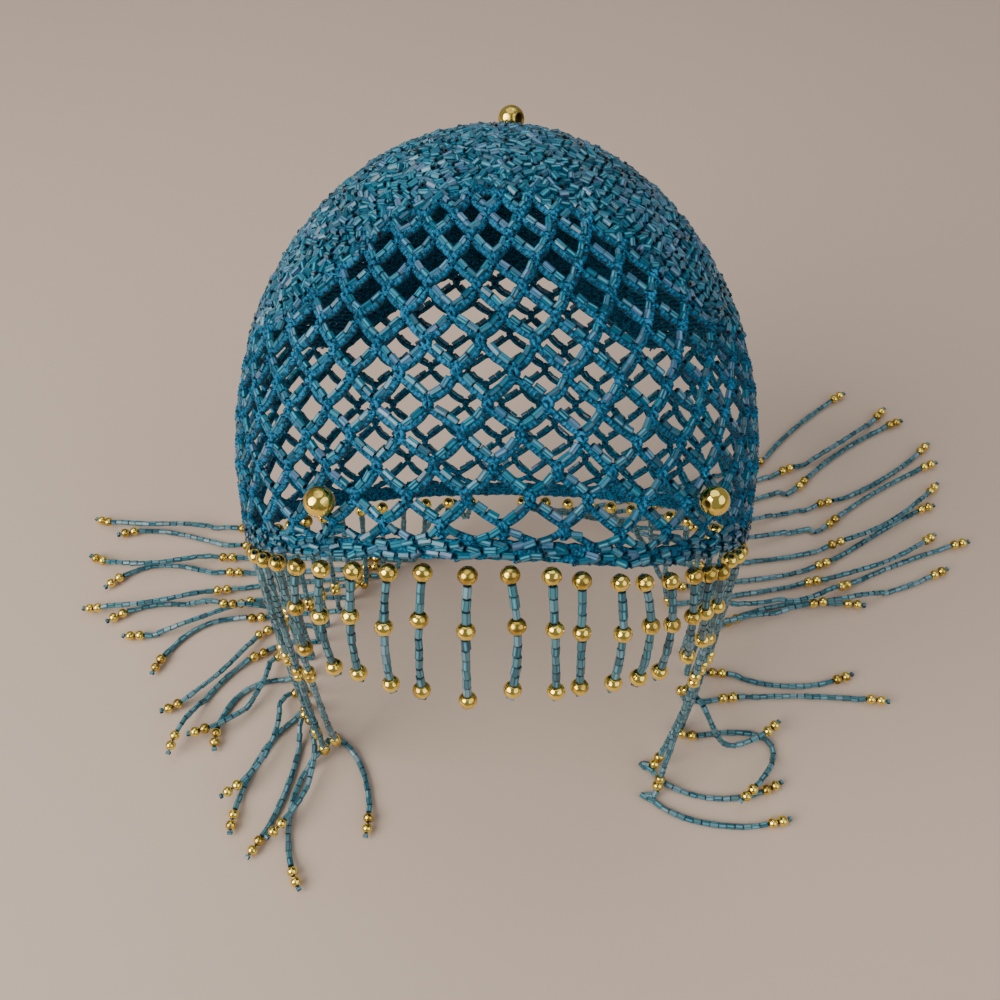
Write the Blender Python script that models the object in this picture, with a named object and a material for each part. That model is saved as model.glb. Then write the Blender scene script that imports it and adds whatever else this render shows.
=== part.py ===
"""Crocheted bead net cap with a bead fringe, in the form that it has when worn.

Metres, +Z up. The wearer looks along -Y and +X is to the right seen from the front. The origin is the
highest point of the hollow, where the crown of a head meets the inside of the cap.
"""
import math
from collections import namedtuple

import bmesh
import bpy
from mathutils import Vector
from mathutils.bvhtree import BVHTree
from mathutils.kdtree import KDTree

MM = 0.001

# The head space: an ellipsoid that the inside of the cap follows
HEAD_HALF_WIDTH = 76.5 * MM
HEAD_HALF_DEPTH = 93.0 * MM
HEAD_HALF_HEIGHT = 93.0 * MM
HEAD_CENTRE = Vector((0.0, 0.0, -HEAD_HALF_HEIGHT))

# The cap sits tipped back by CAP_TILT; its rim is this far from its pole, in degrees of the head space
CAP_TILT = math.radians(46.0)
RIM_AT_SIDE = 106.2
RIM_RISE_IN_FRONT = 4.5
RIM_SAG = 1.5
RIM_SAG_AZIMUTH = 28.0
RIM_SAG_SPREAD = 18.0

GAP = 0.3 * MM
CAP_LENGTH = 170.0 * MM

# The net: cells round the cap and rows down it, as fractions of the way from pole to rim
WALL = 2.0 * MM
CELLS_ROUND = 17
CELL_ROWS = 6
ROW_STEP = 0.0806
CELL_OPENING = 0.72
BAND_TOP = 0.959
NET_EDGE = BAND_TOP - GAP / CAP_LENGTH
CROWN_RINGS = 3

# The rim band, with stations that the net's lower edge and the backings share
BAND_THICKNESS = 3.0 * MM
EDGE_PARTS = 2
BAND_STATIONS = CELLS_ROUND * EDGE_PARTS
STATION_STEP = 360.0 / BAND_STATIONS

# Gold beads
CROWN_BEAD = 8.0 * MM
CROWN_BEAD_HOLE = 3.8 * MM
CROWN_BEAD_AZIMUTH = 70.0
CROWN_BEAD_FRACTION = 0.03
CROWN_BEAD_AXIS = Vector((0.72, -0.60, 0.35))
TEMPLE_BEAD = 7.4 * MM
TEMPLE_BEAD_HOLE = 2.0 * MM
RIM_BEAD = 4.7 * MM
PAIR_BEAD = 4.0 * MM
SEATING_STEPS = 8
TemplePlace = namedtuple("TemplePlace", "name azimuth fraction")
TEMPLE_PLACES = (
    TemplePlace("temple_bead_left", -30.2, 0.914),
    TemplePlace("temple_bead_right", 40.0, 0.905),
)

# Strings, and the thin backings below the band that carry them
STRING_DIAMETER = 2.0 * MM
BACKING_DEPTH = 1.2 * MM
BACKING_INNER = 0.4 * MM
BACKING_OUTER = 2.8 * MM
BACKING_MIDDLE = 0.5 * (BACKING_INNER + BACKING_OUTER)
SEAT_HALF_ANGLE = 1.1
STAND_OFF = 2.5 * MM
STAND_OFF_RUN = 3.0 * MM
FIRST_BEAD_DROP = 2.2 * MM

# Short front strings: three rim beads with a run of bugles between them. The upper and lower run and the drop
# to the middle of the first bead are in millimetres, and so is how far the other two beads hang to the right.
FrontString = namedtuple("FrontString", "azimuth drop upper lower middle_sway end_sway")
FRONT_STRINGS = (
    FrontString(-40.9, 1.8, 9.7, 14.0, 0.6, 1.5),
    FrontString(-33.8, 1.7, 10.5, 14.6, 1.1, 4.9),
    FrontString(-26.2, 1.7, 8.7, 15.9, 0.7, 3.1),
    FrontString(-19.0, 1.8, 10.9, 15.3, 0.3, 2.3),
    FrontString(-12.7, 1.6, 7.9, 19.2, 0.1, 1.1),
    FrontString(-4.9, 2.1, 10.1, 19.0, 0.0, 0.6),
    FrontString(2.2, 1.7, 8.9, 16.0, 1.4, 0.3),
    FrontString(9.3, 1.6, 9.7, 16.4, 0.0, 0.1),
    FrontString(14.6, 2.2, 9.7, 14.3, -1.0, -1.8),
    FrontString(22.0, 2.3, 10.6, 13.2, -0.5, -3.1),
    FrontString(27.2, 2.4, 9.5, 14.8, 0.7, -2.5),
    FrontString(33.3, 2.6, 10.3, 14.5, -0.3, -3.1),
    FrontString(39.9, 2.6, 10.1, 16.8, -0.7, 0.7),
    FrontString(44.6, 3.4, 9.9, 13.0, -0.8, 1.8),
    FrontString(49.8, 4.2, 10.6, 14.0, 0.2, 1.0),
)

# Long strings: rim bead, then three equal runs that each end in a pair of beads. They hang from the rim and
# lie spread on the level surface at FLOOR_Z. Places on it are in millimetres, bow_mm is how far the last run
# bulges to its left, seen on the way to its end.
FLOOR_Z = HEAD_CENTRE.z - 123.0 * MM
LONG_LENGTH = 196.0 * MM
LEFT_FIRST_AZIMUTH = -49.5
RIGHT_FIRST_AZIMUTH = 57.0
LONG_SPACING = 7.2
LongString = namedtuple("LongString", "middle_x middle_y end_x end_y bow_mm")
LEFT_STRINGS = (
    LongString(-61, -45, -48, -84, 6),
    LongString(-66, -50, -69, -102, -9),
    LongString(-71, -44, -83, -84, 7),
    LongString(-76, -42, -90, -91, 4),
    LongString(-79, -37, -97, -82, -5),
    LongString(-85, -32, -102, -69, 7),
    LongString(-84, -20, -108, -50, -10),
    LongString(-91, -14, -120, -44, 9),
    LongString(-95, -8, -125, -54, -5),
    LongString(-98, 0, -133, -34, 6),
    LongString(-101, 8, -139, -19, -9),
    LongString(-104, 16, -156, 0, 5),
    LongString(-112, 11, -163, 6, -8),
    LongString(-116, 22, -175, 13, 4),
    LongString(-122, 31, -168, 22, -8),
    LongString(-124, 38, -178, 40, 6),
    LongString(-121, 46, -169, 50, -5),
    LongString(-128, 55, -181, 60, 4),
)
RIGHT_STRINGS = (
    LongString(58, -69, 108, -76, -6),
    LongString(58, -57, 107, -62, -9),
    LongString(76, -44, 88, -72, 26),
    LongString(72, -36, 109, -39, -11),
    LongString(84, -29, 156, -30, 3),
    LongString(96, -18, 144, -17, -5),
    LongString(100, 8, 156, 14, 4),
    LongString(128, 13, 195, 33, -3),
    LongString(136, 17, 208, 47, 3),
    LongString(138, 27, 194, 51, -4),
    LongString(143, 36, 198, 67, 3),
    LongString(148, 45, 203, 80, -4),
    LongString(149, 57, 206, 92, 3),
    LongString(147, 68, 205, 104, -4),
    LongString(140, 79, 196, 118, 4),
    LongString(135, 88, 190, 127, -4),
    LongString(126, 95, 172, 136, 3),
)

FRONT_SIDES = 10
LONG_SIDES = 5
LONG_STATIONS = 7
FINE_STEPS = 160
CROSSING_DISTANCE = 3.3 * MM
LIFT_STEP = 0.6 * MM
LIFT_ROUNDS = 40
CROSSING_REACH = 16.0 * MM

TEAL_NET = ((0.030, 0.270, 0.420, 1.0), 0.35, 0.0)
TEAL_STRING = ((0.060, 0.300, 0.430, 1.0), 0.30, 0.0)
GOLD = ((0.830, 0.560, 0.120, 1.0), 0.16, 1.0)


def clear_scene():
    for old in list(bpy.data.objects):
        bpy.data.objects.remove(old, do_unlink=True)


def material(name, look):
    colour, roughness, metallic = look
    made = bpy.data.materials.new(name)
    made.use_nodes = True
    shader = made.node_tree.nodes["Principled BSDF"]
    shader.inputs["Base Color"].default_value = colour
    shader.inputs["Roughness"].default_value = roughness
    shader.inputs["Metallic"].default_value = metallic
    return made


def add_object(name, mesh, look):
    made = bpy.data.objects.new(name, mesh)
    mesh.materials.append(material(name + "_finish", look))
    mesh.shade_smooth()
    mesh.set_sharp_from_angle(angle=math.radians(40.0))
    bpy.context.scene.collection.objects.link(made)
    return made


def mesh_from(name, vertices, faces):
    """A closed mesh with its faces pointing out."""
    mesh = bpy.data.meshes.new(name)
    mesh.from_pydata([tuple(v) for v in vertices], [], faces)
    bm = bmesh.new()
    bm.from_mesh(mesh)
    bmesh.ops.recalc_face_normals(bm, faces=bm.faces)
    bm.to_mesh(mesh)
    bm.free()
    return mesh


def rim_polar(azimuth):
    """Angle from the pole to the rim, in radians; the rim rises in front and sags once beside its middle."""
    rise = RIM_RISE_IN_FRONT * max(0.0, math.cos(azimuth)) ** 2
    beside = (math.degrees(azimuth) - RIM_SAG_AZIMUTH) / RIM_SAG_SPREAD
    return math.radians(RIM_AT_SIDE - rise + RIM_SAG * math.exp(-beside * beside))


def wrapped(degrees):
    return (degrees + 180.0) % 360.0 - 180.0


def cap_point(fraction, azimuth_degrees, lift):
    """A point at a fraction of the way from pole to rim, lifted off the head space."""
    azimuth = math.radians(wrapped(azimuth_degrees))
    polar = fraction * rim_polar(azimuth)
    x = math.sin(polar) * math.sin(azimuth)
    y = -math.sin(polar) * math.cos(azimuth)
    z = math.cos(polar)
    back = y * math.cos(CAP_TILT) + z * math.sin(CAP_TILT)
    up = -y * math.sin(CAP_TILT) + z * math.cos(CAP_TILT)
    size = Vector((HEAD_HALF_WIDTH + lift, HEAD_HALF_DEPTH + lift, HEAD_HALF_HEIGHT + lift))
    return HEAD_CENTRE + Vector((x, back, up)) * size


def cap_normal(fraction, azimuth_degrees):
    return (cap_point(fraction, azimuth_degrees, 1.0 * MM) - cap_point(fraction, azimuth_degrees, 0.0)).normalized()


def below_rim(distance):
    """The fraction that lies so far below the rim."""
    return 1.0 + distance / CAP_LENGTH


def net_cell(bm, joints, row, cell, step):
    """One cell: four strand faces round its opening."""
    half = 0.5 * (row % 2)
    middle_azimuth = (cell + half + 0.5) * step
    middle_fraction = NET_EDGE - row * ROW_STEP
    corners = ((row, -0.5), (row - 1, 0.0), (row, 0.5), (row + 1, 0.0))
    outer = [joints[r, round(2 * (cell + half + 0.5 + side)) % (2 * CELLS_ROUND)] for r, side in corners]
    inner = []
    for r, side in corners:
        fraction = middle_fraction + (row - r) * ROW_STEP * CELL_OPENING
        inner.append(bm.verts.new(cap_point(fraction, middle_azimuth + side * step * CELL_OPENING, 0.0)))
    for k in range(4):
        n = (k + 1) % 4
        bm.faces.new((outer[k], outer[n], inner[n], inner[k]))


def make_net():
    """The domed net: a sheet of strands between diamond gaps, closed at the crown, given the wall's thickness."""
    bm = bmesh.new()
    step = 360.0 / CELLS_ROUND
    last = CELL_ROWS + 1
    joints = {}
    for row in range(last + 1):
        for cell in range(CELLS_ROUND):
            half_steps = (2 * cell + row % 2) % (2 * CELLS_ROUND)
            point = cap_point(NET_EDGE - row * ROW_STEP, half_steps * step / 2, 0.0)
            joints[row, half_steps] = bm.verts.new(point)
    for row in range(1, last):
        for cell in range(CELLS_ROUND):
            net_cell(bm, joints, row, cell, step)
    for cell in range(CELLS_ROUND):
        left, middle, right = ((2 * cell + k) % (2 * CELLS_ROUND) for k in range(3))
        edge = [joints[0, left]]
        for part in range(1, EDGE_PARTS):
            edge.append(bm.verts.new(cap_point(NET_EDGE, (cell * EDGE_PARTS + part) * STATION_STEP, 0.0)))
        edge.append(joints[0, right])
        for a, b in zip(edge, edge[1:]):
            bm.faces.new((a, b, joints[1, middle]))
        start = last % 2
        a, b, c = ((2 * cell + start + k) % (2 * CELLS_ROUND) for k in range(3))
        bm.faces.new((joints[last, a], joints[last - 1, b], joints[last, c]))
    ring = [joints[last, (2 * cell + last % 2) % (2 * CELLS_ROUND)] for cell in range(CELLS_ROUND)]
    crown = NET_EDGE - last * ROW_STEP
    for k in range(1, CROWN_RINGS + 1):
        fraction = crown * (1.0 - k / (CROWN_RINGS + 1.0))
        turn = last % 2 * step / 2
        inside = [bm.verts.new(cap_point(fraction, cell * step + turn, 0.0)) for cell in range(CELLS_ROUND)]
        for cell in range(CELLS_ROUND):
            n = (cell + 1) % CELLS_ROUND
            bm.faces.new((ring[cell], ring[n], inside[n], inside[cell]))
        ring = inside
    pole = bm.verts.new(cap_point(0.0, 0.0, 0.0))
    for cell in range(CELLS_ROUND):
        bm.faces.new((ring[cell], ring[(cell + 1) % CELLS_ROUND], pole))
    bm.normal_update()
    for face in bm.faces:
        if face.normal.dot(face.calc_center_median() - HEAD_CENTRE) < 0.0:
            face.normal_flip()
    mesh = bpy.data.meshes.new("crown_net")
    bm.to_mesh(mesh)
    bm.free()
    net = add_object("crown_net", mesh, TEAL_NET)
    wall = net.modifiers.new("wall", "SOLIDIFY")
    wall.thickness = WALL
    wall.offset = 1.0
    return net


def closed_ring(sections):
    """Faces that join each section to the next and the last to the first."""
    count = len(sections[0])
    vertices = [point for section in sections for point in section]
    faces = []
    for k in range(len(sections)):
        n = (k + 1) % len(sections)
        for s in range(count):
            t = (s + 1) % count
            faces.append((k * count + s, k * count + t, n * count + t, n * count + s))
    return vertices, faces


def make_band():
    """The dense rim band, flat inside and rounded outside."""
    outline = ((BAND_TOP, 0.0), (1.0, 0.0), (1.0, 0.7), (0.5 * (BAND_TOP + 1.0), 1.0), (BAND_TOP, 0.7))
    sections = []
    for k in range(BAND_STATIONS):
        azimuth = k * STATION_STEP
        sections.append([cap_point(fraction, azimuth, share * BAND_THICKNESS) for fraction, share in outline])
    vertices, faces = closed_ring(sections)
    return add_object("rim_band", mesh_from("rim_band", vertices, faces), TEAL_NET)


def perpendicular_frame(axis):
    side = axis.orthogonal().normalized()
    return side, axis.cross(side).normalized()


def make_bead(name, centre, axis, diameter, hole, sides=12, steps=6):
    """A big round bead drilled along its axis."""
    axis = axis.normalized()
    side, other = perpendicular_frame(axis)
    radius = diameter / 2
    start = math.asin(hole / diameter)
    profile = []
    for k in range(steps + 1):
        turn = start + (math.pi - 2 * start) * k / steps
        profile.append((radius * math.sin(turn), radius * math.cos(turn)))
    sections = []
    for k in range(sides):
        turn = 2 * math.pi * k / sides
        out = side * math.cos(turn) + other * math.sin(turn)
        sections.append([centre + out * r + axis * h for r, h in profile])
    vertices, faces = closed_ring(sections)
    return add_object(name, mesh_from(name, vertices, faces), GOLD)


def seat_bead(name, net, fraction, azimuth, axis, diameter, hole):
    """A bead stands on the net's strands with the usual gap."""
    surface = BVHTree.FromObject(net, bpy.context.evaluated_depsgraph_get())
    normal = cap_normal(fraction, azimuth)
    centre = cap_point(fraction, azimuth, 0.0) + normal * (WALL + diameter)
    for _ in range(SEATING_STEPS):
        centre = centre - normal * (surface.find_nearest(centre)[3] - GAP - diameter / 2)
    return make_bead(name, centre, axis, diameter, hole)


def make_crown_bead(net):
    return seat_bead("crown_bead", net, CROWN_BEAD_FRACTION, CROWN_BEAD_AZIMUTH, CROWN_BEAD_AXIS,
                     CROWN_BEAD, CROWN_BEAD_HOLE)


def make_temple_beads(net):
    for place in TEMPLE_PLACES:
        ahead = cap_point(place.fraction, place.azimuth + 1.0, 0.0)
        axis = ahead - cap_point(place.fraction, place.azimuth - 1.0, 0.0)
        seat_bead(place.name, net, place.fraction, place.azimuth, axis, TEMPLE_BEAD, TEMPLE_BEAD_HOLE)


def resample(points, distances):
    """Points at the given distances along a fine polyline."""
    lengths = [0.0]
    for a, b in zip(points, points[1:]):
        lengths.append(lengths[-1] + (b - a).length)
    out = []
    k = 0
    for distance in distances:
        distance = min(max(distance, 0.0), lengths[-1])
        while k < len(points) - 2 and lengths[k + 1] < distance:
            k += 1
        span = lengths[k + 1] - lengths[k]
        share = (distance - lengths[k]) / span if span > 0.0 else 0.0
        out.append(points[k].lerp(points[k + 1], share))
    return out


def route_length(points):
    return sum((b - a).length for a, b in zip(points, points[1:]))


def string_rings(route, profile, sides, side):
    """Sections of a string: a ring for each distance and radius, carried along the route without twist."""
    points = resample(route, [distance for distance, _ in profile])
    rings = []
    for k, (distance, radius) in enumerate(profile):
        behind, ahead = resample(route, [distance - 1.0 * MM, distance + 1.0 * MM])
        along = (ahead - behind).normalized()
        side = (side - along * side.dot(along)).normalized()
        other = along.cross(side)
        turns = [2 * math.pi * s / sides for s in range(sides)]
        rings.append([points[k] + (side * math.cos(t) + other * math.sin(t)) * radius for t in turns])
    return rings


def string_root(azimuth):
    """Where a string leaves the backing below the band."""
    return cap_point(below_rim(GAP + BACKING_DEPTH), azimuth, BACKING_MIDDLE)


def front_beads(string):
    """Distances of a front string's three beads."""
    second = string.drop + RIM_BEAD / MM + string.upper
    third = second + RIM_BEAD / MM + string.lower
    return string.drop * MM, second * MM, third * MM


def front_route(string):
    """Down the forehead on the head space, then straight down where that turns inwards."""
    root = string_root(string.azimuth)
    offset = root - HEAD_CENTRE
    seated = Vector((HEAD_HALF_WIDTH, HEAD_HALF_DEPTH, HEAD_HALF_HEIGHT)) + Vector((1, 1, 1)) * BACKING_MIDDLE
    turn = math.atan2(offset.x / seated.x, -offset.y / seated.y)
    latitude = math.asin(offset.z / seated.z)
    sideways = Vector((math.cos(turn), math.sin(turn), 0.0))
    first, second, third = front_beads(string)
    reach = third + RIM_BEAD
    points = [root]
    for k in range(1, FINE_STEPS + 1):
        travelled = k * reach / FINE_STEPS
        grown = (STAND_OFF - BACKING_MIDDLE) * min(1.0, travelled / STAND_OFF_RUN)
        size = seated + Vector((1, 1, 1)) * grown
        down = latitude - travelled / size.z
        level = math.cos(max(0.0, down))
        drop = math.sin(down) if down > 0.0 else down
        spot = Vector((math.sin(turn) * level * size.x, -math.cos(turn) * level * size.y, drop * size.z))
        past = max(0.0, travelled - first)
        middle_share = past * (third - travelled) / ((second - first) * (third - second))
        end_share = past * (travelled - second) / ((third - first) * (third - second))
        sway = (string.middle_sway * middle_share + string.end_sway * end_share) * MM
        points.append(HEAD_CENTRE + spot + sideways * sway)
    return points


def bead_profile(centre, diameter, neck):
    radius = diameter / 2
    return [(centre - 0.96 * radius, neck), (centre - 0.42 * radius, 0.92 * radius),
            (centre + 0.42 * radius, 0.92 * radius), (centre + 0.96 * radius, neck)]


def front_profile(string):
    """Distances and radii down a front string: three rim beads with a run of bugles between each two."""
    neck = STRING_DIAMETER / 2
    first, second, third = front_beads(string)
    profile = [(0.0, neck)] + bead_profile(first, RIM_BEAD, neck)[1:]
    return profile + bead_profile(second, RIM_BEAD, neck) + bead_profile(third, RIM_BEAD, neck)


def bezier(a, b, c, d, share):
    rest = 1.0 - share
    return a * rest ** 3 + b * 3 * rest * rest * share + c * 3 * rest * share * share + d * share ** 3


def lie_height():
    return FLOOR_Z + PAIR_BEAD / 2


def long_points(azimuth, string, reach):
    """From the rim down to the surface, touching it at a share of the way to the middle, and on to the end."""
    root = string_root(azimuth)
    lying = lie_height()
    middle = Vector((string.middle_x * MM, string.middle_y * MM, lying))
    end = Vector((string.end_x * MM, string.end_y * MM, lying))
    foot = Vector((root.x, root.y, lying))
    touch = foot.lerp(middle, reach)
    along = (middle - foot)
    outward = Vector((root.x, root.y, 0.0)).normalized() * 3.0 * MM
    steps = FINE_STEPS // 4
    start = root + outward - Vector((0.0, 0.0, 0.62 * (root.z - lying)))
    points = [bezier(root, start, touch - along * 0.45 * reach, touch, k / steps) for k in range(steps)]
    run = end - middle
    left = Vector((-run.y, run.x, 0.0)).normalized() * string.bow_mm * MM
    into = (end - touch) * 0.33
    points += [bezier(touch, touch + along.normalized() * (middle - touch).length * 0.33,
                      middle - into * 0.6 - left * 0.4, middle, k / steps) for k in range(steps)]
    points += [bezier(middle, middle + into * 0.6 + left * 1.3, end - run * 0.3 + left * 1.3, end, k / (2 * steps))
               for k in range(2 * steps + 1)]
    return points


def long_route(azimuth, string):
    """The touching point is set so that the string has its length, as far as its places allow."""
    near, far = 0.08, 0.9
    for _ in range(24):
        reach = 0.5 * (near + far)
        if route_length(long_points(azimuth, string, reach)) > LONG_LENGTH:
            near = reach
        else:
            far = reach
    points = long_points(azimuth, string, 0.5 * (near + far))
    total = route_length(points)
    return resample(points, [total * k / FINE_STEPS for k in range(FINE_STEPS + 1)])


def lift_over(route, laid):
    """Where a string crosses one laid before it, it goes over in a long low hump."""
    if not laid:
        return route
    tree = KDTree(sum(len(other) for other in laid))
    for other in laid:
        for point in other:
            tree.insert(point, 0)
    tree.balance()
    step = route_length(route) / (len(route) - 1)
    lifted = list(route)
    for _ in range(LIFT_ROUNDS):
        low = [k for k, point in enumerate(lifted)
               if k * step > CROSSING_REACH and tree.find(point)[2] < CROSSING_DISTANCE]
        if not low:
            break
        for k in range(len(lifted)):
            away = min(abs(k - peak) for peak in low) * step
            if away < CROSSING_REACH:
                share = 0.5 + 0.5 * math.cos(math.pi * away / CROSSING_REACH)
                lifted[k] = lifted[k] + Vector((0.0, 0.0, LIFT_STEP * share))
    return lifted


def long_routes(strings, first_azimuth, direction):
    routes = []
    for index, string in enumerate(strings):
        route = long_route(first_azimuth + direction * LONG_SPACING * index, string)
        routes.append(lift_over(route, routes))
    return routes


def bend_stations(route, begin, finish, count):
    """Distances along a route, closer together where it bends."""
    step = route_length(route) / (len(route) - 1)
    span = range(max(1, round(begin / step)), min(len(route) - 2, round(finish / step)))
    turns = [(route[k] - route[k - 1]).angle(route[k + 1] - route[k]) for k in span]
    even = sum(turns) / len(turns)
    passed = [0.0]
    for turn in turns:
        passed.append(passed[-1] + turn + 0.6 * even)
    stations = []
    for k in range(count):
        wanted = passed[-1] * k / (count - 1)
        place = min(range(len(passed)), key=lambda p: abs(passed[p] - wanted))
        stations.append(begin + (finish - begin) * place / (len(passed) - 1))
    return stations


def long_profile(route):
    """A plain string with a swelling for the rim bead and for the pair of beads at its end."""
    total = route_length(route)
    neck = STRING_DIAMETER / 2
    bead = RIM_BEAD / 2
    finish = total - 2.1 * PAIR_BEAD
    profile = [(0.0, neck), (FIRST_BEAD_DROP, 0.9 * bead)]
    profile += [(place, neck) for place in bend_stations(route, FIRST_BEAD_DROP + bead, finish, LONG_STATIONS)]
    return profile + [(total - 1.5 * PAIR_BEAD, PAIR_BEAD / 2), (total - 0.3 * PAIR_BEAD, PAIR_BEAD / 2)]


def seat_faces(corners, ring):
    """Triangles between the corners of a seat and the first ring of the string on it, which run the same way."""
    first = min(range(len(corners)), key=lambda c: (corners[c].co - ring[0].co).length)
    i, j = 0, 0
    faces = []
    while i < len(ring) or j < len(corners):
        a, b = ring[i % len(ring)], corners[(first + j) % len(corners)]
        next_a, next_b = ring[(i + 1) % len(ring)], corners[(first + j + 1) % len(corners)]
        if j == len(corners) or (i < len(ring) and (next_a.co - b.co).length < (next_b.co - a.co).length):
            faces.append((a, next_a, b))
            i += 1
        else:
            faces.append((a, next_b, b))
            j += 1
    return faces


def make_fringe(name, azimuths, routes, profiles, sides):
    """A backing strip below the band and its strings, as one solid."""
    outline = ((GAP, BACKING_INNER), (GAP, BACKING_OUTER),
               (GAP + BACKING_DEPTH, BACKING_OUTER), (GAP + BACKING_DEPTH, BACKING_INNER))
    bm = bmesh.new()
    previous = None
    for azimuth, route, profile in zip(azimuths, routes, profiles):
        seat = []
        for edge in (azimuth - SEAT_HALF_ANGLE, azimuth + SEAT_HALF_ANGLE):
            seat.append([bm.verts.new(cap_point(below_rim(distance), edge, lift)) for distance, lift in outline])
        if previous is None:
            bm.faces.new(seat[0])
        else:
            for s in range(4):
                t = (s + 1) % 4
                bm.faces.new((previous[s], seat[0][s], seat[0][t], previous[t]))
        for s in (0, 1, 3):
            t = (s + 1) % 4
            bm.faces.new((seat[0][s], seat[1][s], seat[1][t], seat[0][t]))
        tangent = cap_point(1.0, azimuth + 1.0, 0.0) - cap_point(1.0, azimuth - 1.0, 0.0)
        rings = [[bm.verts.new(p) for p in ring] for ring in string_rings(route, profile, sides, tangent)]
        for face in seat_faces([seat[0][3], seat[1][3], seat[1][2], seat[0][2]], rings[0]):
            bm.faces.new(face)
        for a, b in zip(rings, rings[1:]):
            for s in range(sides):
                t = (s + 1) % sides
                bm.faces.new((a[s], a[t], b[t], b[s]))
        bm.faces.new(rings[-1])
        previous = seat[1]
    bm.faces.new(previous)
    bmesh.ops.recalc_face_normals(bm, faces=bm.faces)
    mesh = bpy.data.meshes.new(name)
    bm.to_mesh(mesh)
    bm.free()
    return add_object(name, mesh, TEAL_STRING)


def make_front_fringe():
    azimuths = [string.azimuth for string in FRONT_STRINGS]
    routes = [front_route(string) for string in FRONT_STRINGS]
    profiles = [front_profile(string) for string in FRONT_STRINGS]
    make_fringe("front_fringe", azimuths, routes, profiles, FRONT_SIDES)


def make_long_fringe(name, strings, first_azimuth, direction):
    azimuths = [first_azimuth + direction * LONG_SPACING * k for k in range(len(strings))]
    routes = long_routes(strings, first_azimuth, direction)
    order = sorted(range(len(strings)), key=lambda k: azimuths[k])
    ordered = [routes[k] for k in order]
    make_fringe(name, [azimuths[k] for k in order], ordered, [long_profile(route) for route in ordered], LONG_SIDES)


def main():
    clear_scene()
    net = make_net()
    make_band()
    make_crown_bead(net)
    make_temple_beads(net)
    make_front_fringe()
    make_long_fringe("fringe_left", LEFT_STRINGS, LEFT_FIRST_AZIMUTH, -1)
    make_long_fringe("fringe_right", RIGHT_STRINGS, RIGHT_FIRST_AZIMUTH, 1)


main()
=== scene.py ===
"""Looks of a crocheted bead net cap with a bead fringe: glass bugles, thread and gold beads on its frame."""
import math
import random
from collections import namedtuple

import bmesh
import bpy
from bpy.props import FloatProperty, FloatVectorProperty, IntProperty, PointerProperty
from mathutils import Matrix, Vector
from mathutils.kdtree import KDTree


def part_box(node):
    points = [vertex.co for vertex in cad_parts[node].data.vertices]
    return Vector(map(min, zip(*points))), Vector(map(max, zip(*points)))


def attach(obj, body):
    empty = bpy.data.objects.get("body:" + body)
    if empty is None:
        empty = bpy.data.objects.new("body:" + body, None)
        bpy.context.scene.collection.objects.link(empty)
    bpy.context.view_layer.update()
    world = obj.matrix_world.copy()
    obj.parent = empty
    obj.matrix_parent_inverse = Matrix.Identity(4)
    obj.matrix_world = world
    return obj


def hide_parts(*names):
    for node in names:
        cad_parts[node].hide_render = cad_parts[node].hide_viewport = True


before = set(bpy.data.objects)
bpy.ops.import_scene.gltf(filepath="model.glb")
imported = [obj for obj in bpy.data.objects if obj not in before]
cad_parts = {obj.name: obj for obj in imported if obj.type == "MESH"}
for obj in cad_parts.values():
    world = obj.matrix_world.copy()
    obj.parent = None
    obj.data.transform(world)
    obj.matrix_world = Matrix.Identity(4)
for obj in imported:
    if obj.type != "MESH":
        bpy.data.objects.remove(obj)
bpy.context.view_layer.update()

bl_info = {
    "name": "Crocheted bead net cap",
    "version": (1, 0, 0),
    "blender": (4, 5, 0),
    "location": "3D View > Sidebar > Bead cap",
    "description": "Makes the glass bugles, thread, gold beads and fringe of a crocheted bead net cap",
    "category": "Object",
}

MM = 0.001

# The hollow inside the cap, an ellipsoid, and how the cap lies on it: angles in degrees from its pole
HOLLOW_HALF_WIDTH = 76.5 * MM
HOLLOW_HALF_DEPTH = 93.0 * MM
HOLLOW_HALF_HEIGHT = 93.0 * MM
HOLLOW_CENTRE = Vector((0.0, 0.0, -HOLLOW_HALF_HEIGHT))
CAP_TILT = math.radians(46.0)
RIM_AT_SIDE = 106.2
RIM_RISE_IN_FRONT = 4.5
RIM_SAG = 1.5
RIM_SAG_AZIMUTH = 28.0
RIM_SAG_SPREAD = 18.0
CAP_LENGTH = 170.0 * MM
GAP = 0.3 * MM

# Rows of knots, counted up from the band, as fractions of the way from pole to rim; the band has rows of its
# own, from its top down
NET_FOOT = 0.9538
NET_ROW_STEP = 0.0417
NET_ROWS = 13
BAND_ROWS = (0.9725, 0.9805, 0.9885, 0.9965)
BAND_GROUND = tuple(0.9745 + 0.0056 * k for k in range(5))
ROW_TURN = 0.62
FOOT_TURN = 0.9

# The two sides of a hanging loop, left then right: how far a side sags, how late it turns to the knot below,
# and how many degrees it keeps from the other side where they start
LoopSide = namedtuple("LoopSide", "sag late apart")
LOOP_SIDES = (LoopSide(0.02, 0.95, 0.35), LoopSide(0.06, 1.20, -0.35))
LOOP_STEPS = 9

# The close crown: where it ends in front and at the sides, and what it is filled with
CROWN_FOOT = 0.45
CROWN_FOOT_AT_SIDES = 0.21
CROWN_SPREAD = 1.75
CROWN_ROUNDS = 74
CROWN_BUGLES = 4900
GOLDEN_TURN = 137.508

# A stitch across a bugle of the crown: how far to the side, as a share, and how deep in millimetres
CROWN_STITCH = ((-1.4, 0.9), (-0.8, 0.3), (0.0, 0.55), (0.8, 0.3), (1.4, 0.9))

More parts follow.
